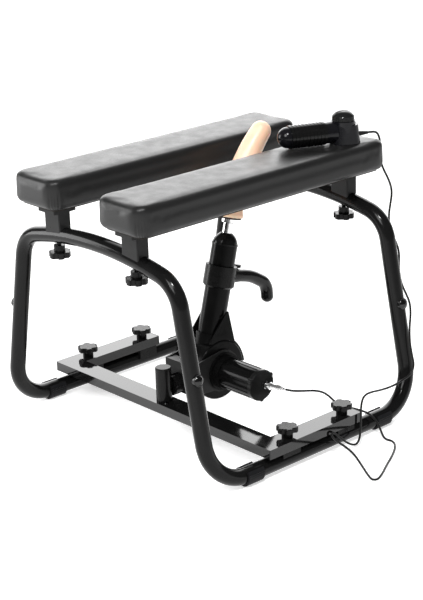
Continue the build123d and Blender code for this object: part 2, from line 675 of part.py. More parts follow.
# ---------------------------------------------------------------- sliding handle on the drive tube
HANDLE_SLIDE_R = DRIVE_R + 0.1
HANDLE_R = 8.0
GRIP_R = 13.0
BOSS_R = 19.0
BOSS_TAPER = 6.0
BOSS_END = 52.0
COLLAR_R = 32.0
BAR_START = 28.0
boss_plane = Plane(origin=unit_side.from_local_coords((0, HANDLE_S, 0)), x_dir=(1, 0, 0),
                   z_dir=unit_side.x_dir)
with BuildPart() as handle_collar:
    with BuildSketch(unit.offset(COLLAR_S)):
        Circle(COLLAR_R)
    extrude(amount=COLLAR_L)
    chamfer(handle_collar.edges().group_by(Axis(unit.origin, unit.z_dir))[0], 4)
    with BuildSketch(boss_plane):
        Circle(BOSS_R)
    extrude(amount=BOSS_END, taper=BOSS_TAPER)
    with BuildSketch(unit.offset(COLLAR_S)):
        Circle(HANDLE_SLIDE_R)
    extrude(amount=COLLAR_L, mode=Mode.SUBTRACT)
    with BuildSketch(boss_plane.offset(BAR_START)):
        Circle(HANDLE_R)
    extrude(amount=BOSS_END, mode=Mode.SUBTRACT)
save(handle_collar.part, "handle_collar")

HANDLE_BENDS = [(88, HANDLE_S), (137, HANDLE_S - 15.5), (146, HANDLE_S - 42.5)]
HANDLE_BEND_RS = [120, 36]
with BuildLine(unit_side) as handle_line:
    FilletPolyline((BAR_START, HANDLE_S), *HANDLE_BENDS, radius=HANDLE_BEND_RS)
with BuildLine(unit_side) as grip_line:
    FilletPolyline((BOSS_END, HANDLE_S), *HANDLE_BENDS, radius=HANDLE_BEND_RS)
bar_solid = tube_along(handle_line.wires()[0], HANDLE_R)
save(tube_along(handle_line.wires()[0], HANDLE_R, HANDLE_R - 1.5), "handle_bar")
with BuildPart() as handle_grip:
    add(tube_along(grip_line.wires()[0], GRIP_R))
    with Locations(Location(grip_line.wires()[0] @ 1)):
        Sphere(GRIP_R)
    add(bar_solid, mode=Mode.SUBTRACT)
save(handle_grip.part, "handle_grip")

LOCK_N = 45.0             # lock screw: stands on top of the collar's boss, parallel to the tube
LOCK_SEAT = BOSS_R - (LOCK_N - 3) * tan(radians(BOSS_TAPER)) + 0.2
lock_plane = Plane(origin=unit_side.from_local_coords((LOCK_N, HANDLE_S + LOCK_SEAT, 0)), x_dir=(1, 0, 0),
                   z_dir=unit.z_dir)
with BuildPart() as handle_lock:
    with BuildSketch(lock_plane):
        Circle(3)
    extrude(amount=2)
    with BuildSketch(lock_plane.offset(2)):
        Circle(7.5)
        with PolarLocations(8.6, 6):
            Circle(2, mode=Mode.SUBTRACT)
    extrude(amount=6)
save(handle_lock.part, "handle_lock")

# ---------------------------------------------------------------- gearhead, motor and their insides
GEARHEAD_L = 24.0
GEARHEAD_R = 34.5
GEARHEAD_X = DRUM_X
with BuildPart() as gearhead_housing:
    with BuildSketch(across(GEARHEAD_X)):
        Circle(TRUNNION_R)
    extrude(amount=8)
    with BuildSketch(across(GEARHEAD_X + 8)):
        Circle(GEARHEAD_R + 5)
    extrude(amount=5)
    with BuildSketch(across(GEARHEAD_X + 13)):
        Circle(GEARHEAD_R)
    extrude(amount=GEARHEAD_L - 13)
    with BuildSketch(across(GEARHEAD_X)):
        Circle(OUTPUT_SHAFT_R + 0.06)
    extrude(amount=3, mode=Mode.SUBTRACT)
    with BuildSketch(across(GEARHEAD_X + 3)):
        Circle(GEARHEAD_R - 2.5)
    extrude(amount=GEARHEAD_L, mode=Mode.SUBTRACT)
save(gearhead_housing.part, "gearhead_housing")

MOTOR_X = GEARHEAD_X + GEARHEAD_L
MOTOR_L = 86.0
MOTOR_R = 32.0
with BuildPart() as motor_can:
    with BuildSketch(across(MOTOR_X)):
        Circle(GEARHEAD_R)
        Circle(3.2, mode=Mode.SUBTRACT)
    extrude(amount=3)
    with BuildSketch(across(MOTOR_X + 3)):
        Circle(MOTOR_R - 1.2)
        with PolarLocations(MOTOR_R - 1.6, 16):
            Rectangle(3.2, 4)
        Circle(MOTOR_R - 4, mode=Mode.SUBTRACT)
    extrude(amount=MOTOR_L - 3)
save(motor_can.part, "motor_can")

CAP_L = 10.0
CAP_X = MOTOR_X + MOTOR_L
with BuildPart() as motor_end_cap:
    with BuildSketch(across(CAP_X)):
        Circle(MOTOR_R)
        with PolarLocations(MOTOR_R - 2, 3, start_angle=30):
            Circle(5)
    extrude(amount=CAP_L)
    fillet(motor_end_cap.faces().sort_by(Axis.X)[-1].edges(), 2)
    with BuildSketch(across(CAP_X)):
        Circle(MOTOR_R - 4)
    extrude(amount=CAP_L - 4, mode=Mode.SUBTRACT)
    with BuildSketch(across(CAP_X)):
        Circle(3.2)
    extrude(amount=CAP_L - 1.5, mode=Mode.SUBTRACT)
save(motor_end_cap.part, "motor_end_cap")


def gear_outline(teeth, phase):
    """Straight-flanked teeth with backlash; phase is the angle of one tooth, in degrees."""
    pitch_r = GEAR_MODULE * teeth / 2
    step = 2 * pi / teeth
    points = []
    for tooth in range(teeth):
        middle = radians(phase) + tooth * step
        for radius, share in ((-1.25, -0.30), (0.85, -0.10), (0.85, 0.10), (-1.25, 0.30)):
            angle = middle + share * step
            r = pitch_r + radius * GEAR_MODULE
            points.append((r * cos(angle), r * sin(angle)))
    return points


def gear(x, rise, teeth, phase, width):
    """Spur gear square to X, its axis rise above the motor axis."""
    with BuildPart() as wheel:
        with BuildSketch(across(x, rise)):
            with BuildLine():
                Polyline(*gear_outline(teeth, phase), close=True)
            make_face()
        extrude(amount=width)
    return wheel.part


GEAR_T = 6.0
OUTPUT_X = GEARHEAD_X + 4.5
INPUT_X = OUTPUT_X + GEAR_T + 3
with BuildPart() as output_gear:
    add(gear(OUTPUT_X, 0, LARGE_TEETH, 95, GEAR_T))
    with BuildSketch(across(18)):
        Circle(OUTPUT_SHAFT_R)
    extrude(amount=OUTPUT_X - 18)
save(output_gear.part, "output_gear")

with BuildPart() as crank_disc:
    with BuildSketch(across(10)):
        Circle(42)
        with Locations((-26, 0)):
            Circle(9, mode=Mode.SUBTRACT)
    extrude(amount=8)
save(crank_disc.part, "crank_disc")

with BuildPart() as layshaft:
    add(gear(OUTPUT_X, GEAR_GAP, SMALL_TEETH, -90, GEAR_T + 0.5))
    add(gear(INPUT_X, GEAR_GAP, LARGE_TEETH, -85, GEAR_T - 0.5))
    with BuildSketch(across(GEARHEAD_X + 3.2, GEAR_GAP)):
        Circle(2)
    extrude(amount=GEARHEAD_L - 3.4)
save(layshaft.part, "layshaft")

with BuildPart() as armature:
    add(gear(INPUT_X, 0, SMALL_TEETH, 90, GEAR_T - 0.5))
    with BuildSketch(across(INPUT_X)):
        Circle(2.6)
    extrude(amount=CAP_X + 8 - INPUT_X)
    with BuildSketch(across(MOTOR_X + 20)):
        Circle(MOTOR_R - 9)
        with PolarLocations(MOTOR_R - 12, 5):
            Rectangle(10, 2.5, mode=Mode.SUBTRACT)
    extrude(amount=46)
    with BuildSketch(across(MOTOR_X + 70)):
        Circle(9)
    extrude(amount=12)
save(armature.part, "armature")

# ---------------------------------------------------------------- power socket and plug
SOCKET_X = CAP_X + CAP_L
SOCKET_YAW = 13.0         # the outlet points outward and a little to the rear
outlet = Plane(origin=(SOCKET_X, 5, 101), x_dir=(0, 0, 1),
               z_dir=(cos(radians(SOCKET_YAW)), sin(radians(SOCKET_YAW)), 0))
SOCKET_L = 13.0
PLUG_L = 36.0
with BuildPart() as power_socket:
    with BuildSketch(outlet.offset(-3)):
        RegularPolygon(9, 6)
    extrude(amount=7)
    with BuildSketch(outlet.offset(4)):
        Circle(8)
    extrude(amount=SOCKET_L - 4)
    with BuildSketch(outlet):
        Circle(4.2)
    extrude(amount=SOCKET_L, mode=Mode.SUBTRACT)
    with BuildSketch(across(SOCKET_X)):
        Circle(MOTOR_R)
    extrude(amount=-10, mode=Mode.SUBTRACT)
save(power_socket.part, "power_socket")

with BuildPart() as cord_plug:
    with BuildSketch(outlet.offset(2)):
        Circle(4.1)
    extrude(amount=SOCKET_L - 2)
    with BuildSketch(outlet.offset(SOCKET_L)):
        Circle(5.5)
    extrude(amount=26)
    with BuildSketch(outlet.offset(SOCKET_L + 16)):
        Circle(6.5)
    extrude(amount=5)
    with BuildSketch(outlet.offset(SOCKET_L + 26)):
        Circle(4.5)
    extrude(amount=PLUG_L - 26, taper=11)
save(cord_plug.part, "cord_plug")
CORD_GAP = 0.3            # lets the plug tilt with the unit
cord_end = outlet.from_local_coords((0, 0, SOCKET_L + PLUG_L + CORD_GAP))

# ---------------------------------------------------------------- handset on the right pad
HANDSET_TURN = 22.0
HANDSET_X, HANDSET_Y = 99.0, 134.0
GRIP_SHELL_R = 21.0
HANDSET_Z = PAD_TOP + 23.3
hx, hy = sin(radians(HANDSET_TURN)), cos(radians(HANDSET_TURN))
handset = Plane(origin=(HANDSET_X, HANDSET_Y, HANDSET_Z), x_dir=(hx, hy, 0), z_dir=(hy, -hx, 0))
HEAD_START, HEAD_END = 94.0, 150.0
HEAD_W = 52.0
HEAD_CORNER_R = 16.0
SHOULDER_H, SHOULDER_L, SHOULDER_W, SHOULDER_R = 37.0, 53.0, 47.0, 21.0      # under the dial
DIAL_AT = 119.0
DIAL_SEAT_R = 24.5       # round top of the head, under the dial
HEAD_LOW, HEAD_TOP = PAD_TOP + 0.3, PAD_TOP + 45.0


def handset_form(wall):
    """Round-ended grip widening into a head that rises to a round seat, drawn wall inside the outer face."""
    radius = GRIP_SHELL_R - wall
    head = Plane(origin=(HANDSET_X, HANDSET_Y, HEAD_LOW + wall), x_dir=(hx, hy, 0), z_dir=(0, 0, 1))
    with BuildPart() as form:
        with BuildSketch(handset):
            with BuildLine():
                start = Line((-radius, 0), (HEAD_START + 6, 0))
                Polyline(start @ 1, (HEAD_START + 6, radius + 1), (HEAD_START - 10, radius), (0, radius))
                RadiusArc((0, radius), (-radius, 0), -radius)
            make_face()
        revolve(axis=Axis(handset.origin, handset.x_dir))
        with BuildSketch(head):
            with Locations(((HEAD_START + HEAD_END) / 2, 0)):
                RectangleRounded(HEAD_END - HEAD_START - 2 * wall, HEAD_W - 2 * wall, HEAD_CORNER_R - wall)
        with BuildSketch(head.offset(SHOULDER_H - 2 * wall)):
            with Locations(((HEAD_START + HEAD_END) / 2, 0)):
                RectangleRounded(SHOULDER_L - 2 * wall, SHOULDER_W - 2 * wall, SHOULDER_R - wall)
        loft()
        with BuildSketch(head):
            with Locations((DIAL_AT, 0)):
                Circle(DIAL_SEAT_R - wall)
        extrude(amount=HEAD_TOP - HEAD_LOW - 2 * wall)
    return form.part


STRAIN_Z = PAD_TOP + 14.0
outer_form, inner_form = handset_form(0), handset_form(2.5)
exit_plane = Plane(origin=(HANDSET_X + HEAD_END * hx, HANDSET_Y + HEAD_END * hy, STRAIN_Z), x_dir=(0, 0, 1),
                   z_dir=(hx, hy, 0))
dial_plane = Plane(origin=(HANDSET_X + DIAL_AT * hx, HANDSET_Y + DIAL_AT * hy, HEAD_TOP), x_dir=(hx, hy, 0),
                   z_dir=(0, 0, 1))
for name, keep in (("handset_lower_shell", Keep.BOTTOM), ("handset_upper_shell", Keep.TOP)):
    with BuildPart() as shell:
        add(outer_form)
        add(inner_form, mode=Mode.SUBTRACT)
        with BuildSketch(exit_plane.offset(-8)):
            Circle(6.1)
        extrude(amount=14, mode=Mode.SUBTRACT)
        with BuildSketch(dial_plane.offset(-6)):
            Circle(4.5)
        extrude(amount=12, mode=Mode.SUBTRACT)
        split(bisect_by=Plane.XY.offset(HANDSET_Z), keep=keep)
    save(shell.part, name)

with BuildPart() as grip_sleeve:
    with BuildSketch(handset):
        with BuildLine():
            points = [(2, GRIP_SHELL_R)]
            for rib in range(10):
                x = 2 + rib * 7.6
                points += [(x, GRIP_SHELL_R + 2), (x + 5.2, GRIP_SHELL_R + 2), (x + 5.2, GRIP_SHELL_R + 0.9),
                           (x + 7.6, GRIP_SHELL_R + 0.9)]
            Polyline(*points, (2 + 76, GRIP_SHELL_R), close=True)
        make_face()
    revolve(axis=Axis(handset.origin, handset.x_dir))
save(grip_sleeve.part, "grip_sleeve")

with BuildPart() as circuit_board:
    with BuildSketch(dial_plane.offset(-13)):
        Rectangle(30, 30)
    extrude(amount=-1.6)
    with BuildSketch(dial_plane.offset(-13)):
        Circle(8)
    extrude(amount=9)
    with BuildSketch(dial_plane.offset(-16)):
        Circle(3.1)
    extrude(amount=12.1, mode=Mode.SUBTRACT)
save(circuit_board.part, "circuit_board")

DIAL_R = 22.0
DIAL_H = 18.5
with BuildPart() as speed_dial:
    with BuildSketch(Plane(origin=dial_plane.origin, x_dir=dial_plane.x_dir, z_dir=-dial_plane.y_dir)):
        with BuildLine():
            Polyline((0, DIAL_H), (0, 0.5), (DIAL_R, 0.5), (DIAL_R, 9))
            ThreePointArc((DIAL_R, 9), (15.5, 15.8), (0, DIAL_H))
        make_face()
    revolve(axis=Axis(dial_plane.origin, dial_plane.z_dir))
    with BuildSketch(dial_plane.offset(0.5)):
        with PolarLocations(DIAL_R + 0.6, 30):
            Circle(1.4)
    extrude(amount=7, mode=Mode.SUBTRACT)
    with BuildSketch(dial_plane.offset(DIAL_H - 3)):
        Rectangle(2 * DIAL_R, 4)
    extrude(amount=5, mode=Mode.SUBTRACT)
    with BuildSketch(dial_plane.offset(-12)):
        Circle(3)
    extrude(amount=14)
save(speed_dial.part, "speed_dial")

STRAIN_L = 22.0
with BuildPart() as strain_relief:
    with BuildSketch(exit_plane.offset(-9)):
        Circle(7.5)
    extrude(amount=2.2)
    with BuildSketch(exit_plane.offset(-7)):
        Circle(6)
    extrude(amount=STRAIN_L + 7, taper=6)
save(strain_relief.part, "strain_relief")

# ---------------------------------------------------------------- cord from handset to motor
cord_start = exit_plane.from_local_coords((0, 0, STRAIN_L))
CORD_ROUTE = [
    (168, 305, 559.5), (169, 317, 555), (165, 329, 537), (161, 332, 514), (165, 332, 488),
    (174, 331, 475), (186, 330, 461), (196, 328, 446), (200, 326, 432), (199, 323, 413),
    (199, 318, 390), (206, 312, 368), (222, 306, 352), (238, 303, 333), (243, 301, 317),
    (243, 300, 301), (246, 298, 281), (253, 297, 260),
    (266, 294, 246), (281, 291, 229), (288, 286, 207), (292, 278, 182), (298, 272, 155),
    (305, 271, 128), (310, 273, 106), (311, 262, 90), (309, 238, 83), (311, 207, 81),
    (316, 168, 86), (322, 130, 95), (328, 104, 97), (332, 92, 82), (332, 92, 56),
    (332, 91, 31), (334, 85, 10), (335, 72, 4), (333, 52, 15), (331, 31, 35),
    (330, 16, 50), (331, 9, 44), (333, 22, 29), (338, 42, 12), (357, 45, 2.4),
    (399, 20, 2.6), (455.2, -14.3, 2.4), (462.6, -11.6, 2.4), (465.3, -4.2, 2.4),
    (455, 19, 2.6), (438, 48, 2.6), (417, 88, 2.4), (394, 124, 2.6), (373, 141, 2.4),
    (354, 135, 2.8), (335, 146, 12), (326, 143, 32), (310, 138, 44), (293, 127, 50),
    (280, 112, 56), (274, 93, 66), (261, 88.5, 72.5), (247, 90.5, 77.5), (234, 87, 83),
    (224, 75, 87), (222, 55, 92), (223, 35, 98), (216, 19.1, 101),
]
route = [cord_start] + [Vector(*point) for point in CORD_ROUTE] + [cord_end]


def corner_radii(points):
    """Largest tangent arc at each corner: 0.45 of the shorter run over the tangent of half the turn."""
    radii = []
    for before, here, after in zip(points, points[1:], points[2:]):
        run_in, run_out = here - before, after - here
        half_turn = radians(run_in.get_angle(run_out)) / 2
        radii.append(0.45 * min(run_in.length, run_out.length) / tan(half_turn))
    return radii


radii = corner_radii(route)
with BuildLine() as cord_line:
    FilletPolyline(*route, radius=radii)
cord_wire = cord_line.wires()[0]
cord = tube_along(cord_wire, CORD_R)
save(cord, "handset_cord")
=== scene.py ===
import json
from math import atan2, cos, degrees, exp, radians, sin

import bpy
from mathutils import Matrix, Vector


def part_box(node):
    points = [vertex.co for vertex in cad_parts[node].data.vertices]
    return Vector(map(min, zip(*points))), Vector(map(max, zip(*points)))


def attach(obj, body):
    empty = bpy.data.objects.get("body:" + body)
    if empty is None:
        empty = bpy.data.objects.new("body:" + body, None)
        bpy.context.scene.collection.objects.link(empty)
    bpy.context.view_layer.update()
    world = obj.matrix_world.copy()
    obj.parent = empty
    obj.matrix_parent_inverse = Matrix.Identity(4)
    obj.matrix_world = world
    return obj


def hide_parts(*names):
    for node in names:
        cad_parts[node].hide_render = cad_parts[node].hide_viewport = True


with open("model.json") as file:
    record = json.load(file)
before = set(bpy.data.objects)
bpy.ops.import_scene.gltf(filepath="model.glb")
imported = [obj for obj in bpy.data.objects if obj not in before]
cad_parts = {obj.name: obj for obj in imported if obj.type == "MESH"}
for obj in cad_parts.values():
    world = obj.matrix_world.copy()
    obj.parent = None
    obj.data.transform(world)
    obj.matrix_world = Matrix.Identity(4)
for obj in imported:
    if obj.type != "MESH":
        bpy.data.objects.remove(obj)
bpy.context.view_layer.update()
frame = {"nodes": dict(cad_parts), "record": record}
scene = bpy.context.scene


# ---------------------------------------------------------------- camera and stage
def camera():
    """Long-lens view from the front right, a little above the pads."""
    data = bpy.data.cameras.new("camera")
    data.sensor_width = 36.0
    data.lens = 102.05
    data.shift_x = -0.0524
    data.shift_y = 0.0031
    data.clip_end = 50.0
    eye = bpy.data.objects.new("camera", data)
    right = Vector((0.6859, 0.7272, -0.0256))
    up = Vector((-0.2312, 0.2512, 0.9400))
    back = Vector((0.6899, -0.6389, 0.3404))
    turn = Matrix((right, up, back)).transposed().to_4x4()
    eye.matrix_world = Matrix.Translation((2.406, -2.133, 1.400)) @ turn
    scene.collection.objects.link(eye)
    scene.camera = eye


def light(name, place, aim, width, height, power):
    """Soft rectangular studio lamp at place, pointing at aim."""
    data = bpy.data.lights.new(name, "AREA")
    data.shape = "RECTANGLE"
    data.size, data.size_y = width, height
    data.energy = power
    lamp = bpy.data.objects.new(name, data)
    lamp.location = place
    lamp.rotation_euler = (Vector(aim) - Vector(place)).to_track_quat("-Z", "Y").to_euler()
    scene.collection.objects.link(lamp)


BEHIND = Vector((-0.70, 0.65, 0.30)).normalized()


def studio_world():
    """White to the camera; to everything else a dim room with a bright wall behind the object."""
    world = bpy.data.worlds.new("studio")
    scene.world = world
    world.use_nodes = True
    tree = world.node_tree
    background = tree.nodes["Background"]
    background.inputs["Color"].default_value = (1, 1, 1, 1)
    direction = tree.nodes.new("ShaderNodeTexCoord").outputs["Generated"]
    facing = tree.nodes.new("ShaderNodeVectorMath")
    facing.operation = "DOT_PRODUCT"
    facing.inputs[1].default_value = BEHIND
    tree.links.new(direction, facing.inputs[0])
    wall = tree.nodes.new("ShaderNodeMapRange")
    wall.interpolation_type = "SMOOTHSTEP"
    for socket, value in (("From Min", 0.70), ("From Max", 0.93), ("To Min", 0.22), ("To Max", 4.2)):
        wall.inputs[socket].default_value = value
    tree.links.new(facing.outputs["Value"], wall.inputs["Value"])
    seen = tree.nodes.new("ShaderNodeMix")
    tree.links.new(tree.nodes.new("ShaderNodeLightPath").outputs["Is Camera Ray"], seen.inputs[0])
    tree.links.new(wall.outputs["Result"], seen.inputs[2])
    seen.inputs[3].default_value = 1.0
    tree.links.new(seen.outputs[0], background.inputs["Strength"])


def stage():
    """Pale floor that glows a little, so the object's shadows stay faint, and the studio lamps."""
    mesh = bpy.data.meshes.new("studio_floor")
    reach = 60.0
    corners = [(-reach, -reach, 0), (reach, -reach, 0), (reach, reach, 0), (-reach, reach, 0)]
    mesh.from_pydata(corners, [], [(0, 1, 2, 3)])
    floor = bpy.data.objects.new("studio_floor", mesh)
    scene.collection.objects.link(floor)
    material = bpy.data.materials.new("studio_floor")
    material.use_nodes = True
    shader = material.node_tree.nodes["Principled BSDF"]
    shader.inputs["Base Color"].default_value = (0.85, 0.85, 0.85, 1)
    shader.inputs["Roughness"].default_value = 0.9
    shader.inputs["Specular IOR Level"].default_value = 0.1
    shader.inputs["Emission Color"].default_value = (1, 1, 1, 1)
    shader.inputs["Emission Strength"].default_value = 0.55
    mesh.materials.append(material)
    studio_world()
    light("key", (1.0, -2.4, 2.6), (0, 0, 0.4), 1.4, 1.4, 75)
    light("left_strip", (-2.4, -1.8, 0.9), (0, 0, 0.35), 1.0, 1.6, 45)
    light("sparkle", (1.2, -1.0, 2.6), (0.1, 0.1, 0.5), 0.26, 0.26, 48)


camera()
stage()
scene.view_settings.view_transform = "Standard"


# ---------------------------------------------------------------- materials
def new_material(name, base, rough, metallic=0.0, **sockets):
    """Principled material; further sockets are named with underscores for spaces."""
    material = bpy.data.materials.new(name)
    material.use_nodes = True
    shader = material.node_tree.nodes["Principled BSDF"]
    shader.inputs["Base Color"].default_value = (*base, 1)
    shader.inputs["Roughness"].default_value = rough
    shader.inputs["Metallic"].default_value = metallic
    for socket, value in sockets.items():
        shader.inputs[socket.replace("_", " ")].default_value = value
    return material


def node(material, kind, **values):
    """Shader node, with values for its inputs or its own settings."""
    made = material.node_tree.nodes.new(kind)
    for key, value in values.items():
        if key in made.inputs:
            made.inputs[key].default_value = value
        else:
            setattr(made, key, value)
    return made


def link(material, source, target):
    material.node_tree.links.new(source, target)


def coordinates(material):
    """Object coordinates: metres in the row frame."""
    return node(material, "ShaderNodeTexCoord").outputs["Object"]


def vary(material, socket, low, high, scale):
    """Noise between two values, or two colours, into a socket of the material's shader."""
    shader = material.node_tree.nodes["Principled BSDF"]
    texture = node(material, "ShaderNodeTexNoise", Scale=scale, Detail=4.0)
    link(material, coordinates(material), texture.inputs["Vector"])
    if isinstance(low, tuple):
        mix = node(material, "ShaderNodeMix", data_type="RGBA")
        mix.inputs[6].default_value = (*low, 1)
        mix.inputs[7].default_value = (*high, 1)
        link(material, texture.outputs["Fac"], mix.inputs[0])
        link(material, mix.outputs[2], shader.inputs[socket])
        return
    spread = node(material, "ShaderNodeMapRange")
    spread.inputs["From Min"].default_value = 0.3
    spread.inputs["From Max"].default_value = 0.7
    spread.inputs["To Min"].default_value = low
    spread.inputs["To Max"].default_value = high
    link(material, texture.outputs["Fac"], spread.inputs["Value"])
    link(material, spread.outputs["Result"], shader.inputs[socket])


def bumps(material, layers):
    """Stacks bump layers: (texture output, strength, distance in metres)."""
    shader = material.node_tree.nodes["Principled BSDF"]
    normal = None
    for output, strength, distance in layers:
        bump = node(material, "ShaderNodeBump", Strength=strength, Distance=distance)
        link(material, output, bump.inputs["Height"])
        if normal is not None:
            link(material, normal, bump.inputs["Normal"])
        normal = bump.outputs["Normal"]
    link(material, normal, shader.inputs["Normal"])


def noise_height(material, scale):
    """Soft unevenness of about 1/scale metres."""
    texture = node(material, "ShaderNodeTexNoise", Scale=scale, Detail=3.0)
    link(material, coordinates(material), texture.inputs["Vector"])
    return texture.outputs["Fac"]


def cell_height(material, scale):
    """Leather grain: distance to the edges of small cells."""
    texture = node(material, "ShaderNodeTexVoronoi", feature="DISTANCE_TO_EDGE", Scale=scale)
    link(material, coordinates(material), texture.inputs["Vector"])
    return texture.outputs["Distance"]


def gloss_paint(name, tone, rough, peel, shine=0.10):
    """Gloss powder coat: near black, a faint orange peel, slightly uneven gloss."""
    material = new_material(name, tone, rough, Specular_IOR_Level=shine)
    brighter = tuple(c * 1.5 for c in tone)
    vary(material, "Base Color", tone, brighter, 9)
    vary(material, "Roughness", rough * 0.8, rough * 1.3, 35)
    bumps(material, [(noise_height(material, 420), peel, 0.0004)])
    return material


def moulded(name, tone, rough, grain_scale=900, grain=0.25, shine=0.12):
    """Moulded plastic or rubber with a fine spark texture."""
    material = new_material(name, tone, rough, Specular_IOR_Level=shine)
    vary(material, "Base Color", tuple(c * 0.8 for c in tone), tuple(c * 1.4 for c in tone), 24)
    vary(material, "Roughness", rough * 0.85, rough * 1.2, 60)
    bumps(material, [(noise_height(material, grain_scale), grain, 0.0003)])
    return material


def bright_metal(name, tone, rough, brushed=0.0):
    """Chrome or machined steel, with faint polishing marks."""
    material = new_material(name, tone, rough, metallic=1.0)
    vary(material, "Roughness", rough * 0.7, rough * 1.6, 80)
    bumps(material, [(noise_height(material, 300), 0.05 + brushed, 0.0002)])
    return material


def vinyl():
    """Soft black vinyl with a leather grain and fine creases."""
    material = new_material("pad_vinyl", (0.014, 0.014, 0.015), 0.36, Specular_IOR_Level=0.24)
    vary(material, "Base Color", (0.007, 0.007, 0.007), (0.011, 0.011, 0.011), 7)
    vary(material, "Roughness", 0.33, 0.42, 40)
    bumps(material, [(cell_height(material, 650), 0.22, 0.0005), (noise_height(material, 30), 0.03, 0.003)])
    return material


def silicone():
    """Soft peach silicone, light scattering under a satin skin."""
    material = new_material("silicone", (0.88, 0.60, 0.42), 0.4, Subsurface_Weight=0.35,
                            Subsurface_Scale=0.02, Coat_Weight=0.15, Coat_Roughness=0.3)
    material.node_tree.nodes["Principled BSDF"].inputs["Subsurface Radius"].default_value = (1.0, 0.4, 0.25)
    vary(material, "Base Color", (0.84, 0.54, 0.37), (0.90, 0.63, 0.46), 18)
    vary(material, "Roughness", 0.34, 0.48, 50)
    bumps(material, [(noise_height(material, 500), 0.12, 0.0003)])
    return material


MATERIALS = {
    "frame_paint": gloss_paint("frame_paint", (0.004, 0.004, 0.004), 0.13, 0.06, 0.13),
    "platform_paint": gloss_paint("platform_paint", (0.004, 0.004, 0.004), 0.06, 0.02, 0.42),
    "foot_rubber": moulded("foot_rubber", (0.008, 0.008, 0.009), 0.40),
    "fastener_steel": bright_metal("fastener_steel", (0.035, 0.035, 0.035), 0.12),
    "moulded_black": moulded("moulded_black", (0.004, 0.004, 0.004), 0.26),
    "bracket_paint": gloss_paint("bracket_paint", (0.012, 0.012, 0.012), 0.34, 0.12),
    "pad_board": moulded("pad_board", (0.02, 0.018, 0.016), 0.7, 300),
    "pad_vinyl": vinyl(),
    "drive_paint": gloss_paint("drive_paint", (0.003, 0.003, 0.003), 0.20, 0.08, 0.07),
    "gloss_black": moulded("gloss_black", (0.008, 0.008, 0.008), 0.14, 500, 0.05),
    "motor_paint": gloss_paint("motor_paint", (0.003, 0.003, 0.003), 0.13, 0.06, 0.09),
    "bush_brass": bright_metal("bush_brass", (0.62, 0.45, 0.2), 0.25),
    "machined_steel": bright_metal("machined_steel", (0.45, 0.45, 0.45), 0.3, 0.05),
    "chrome": bright_metal("chrome", (0.80, 0.80, 0.80), 0.09),
    "disc_rubber": moulded("disc_rubber", (0.03, 0.022, 0.02), 0.5),
    "silicone": silicone(),
    "grip_rubber": moulded("grip_rubber", (0.004, 0.004, 0.004), 0.14, 700, 0.05, 0.2),
    "handset_shell": moulded("handset_shell", (0.004, 0.004, 0.005), 0.15, shine=0.2),
    "board_green": moulded("board_green", (0.02, 0.13, 0.05), 0.4),
    "cord_rubber": moulded("cord_rubber", (0.011, 0.011, 0.011), 0.35, 1200, 0.1),
}
for part in frame["record"]["subparts"]:
    piece = frame["nodes"][part["node"]]
    piece.data.materials.clear()
    piece.data.materials.append(MATERIALS[part["material_slot"]])


# ---------------------------------------------------------------- helpers for new pieces
def add_object(name, mesh, slot_name, body):
    """A mesh as a piece of the object, with its slot's material, riding on a body."""
    made = bpy.data.objects.new(name, mesh)
    scene.collection.objects.link(made)
    mesh.materials.append(MATERIALS[slot_name])
    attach(made, body)
    return made


# ---------------------------------------------------------------- upholstered pads
PAD_CORNER_R = 0.025
PAD_INSET = 0.0015                    # the block starts smaller by this on every side, as it swells
PAD_VOXEL = 0.0045
SWELL_CAP = 0.0013
SWELL_STEPS = 20
HELD_H = 0.016                        # the underside up to here, and away from the rim, is held
HELD_RIM = 0.012
PLEATS = (22, 38, 52, 68)             # degrees round each lower corner
PLEAT_DEPTH = 0.0016
PLEAT_WIDTH = 3.2                     # degrees
PLEAT_FROM, PLEAT_TO = 0.014, 0.046   # heights over which the pleats fade out


def smooth_step(value, low, high):
    """0 below low, 1 above high, an S curve between."""
    t = min(max((value - low) / (high - low), 0.0), 1.0)
    return t * t * (3 - 2 * t)


def swell(pad, pinned, cap):
    """Cloth under pressure, its result applied; no point ends more than cap from where it began."""
    rest = [vertex.co.copy() for vertex in pad.data.vertices]
    group = pad.vertex_groups.new(name="held")
    group.add(pinned, 1.0, "REPLACE")
    cloth = pad.modifiers.new("cloth", "CLOTH").settings
    cloth.use_pressure = True
    cloth.uniform_pressure_force = 4.0
    cloth.quality = 4
    cloth.tension_stiffness = 25
    cloth.compression_stiffness = 25
    cloth.bending_stiffness = 2
    cloth.mass = 0.3
    cloth.vertex_group_mass = "held"
    cloth.effector_weights.gravity = 0
    for step in range(1, SWELL_STEPS + 1):
        scene.frame_set(step)
    settled = pad.evaluated_get(bpy.context.evaluated_depsgraph_get()).to_mesh()
    moved = [vertex.co.copy() for vertex in settled.vertices]
    pad.evaluated_get(bpy.context.evaluated_depsgraph_get()).to_mesh_clear()
    pad.modifiers.clear()
    scene.frame_set(1)
    for vertex, start, end in zip(pad.data.vertices, rest, moved):
        shift = end - start
        if shift.length > cap:
            shift *= cap / shift.length
        vertex.co = start + shift
    pad.vertex_groups.clear()


def modify(target, kind, **settings):
    """Adds one modifier and applies it."""
    modifier = target.modifiers.new(kind.lower(), kind)
    for key, value in settings.items():
        setattr(modifier, key, value)
    depsgraph = bpy.context.evaluated_depsgraph_get()
    fresh = bpy.data.meshes.new_from_object(target.evaluated_get(depsgraph))
    target.modifiers.clear()
    target.data = fresh


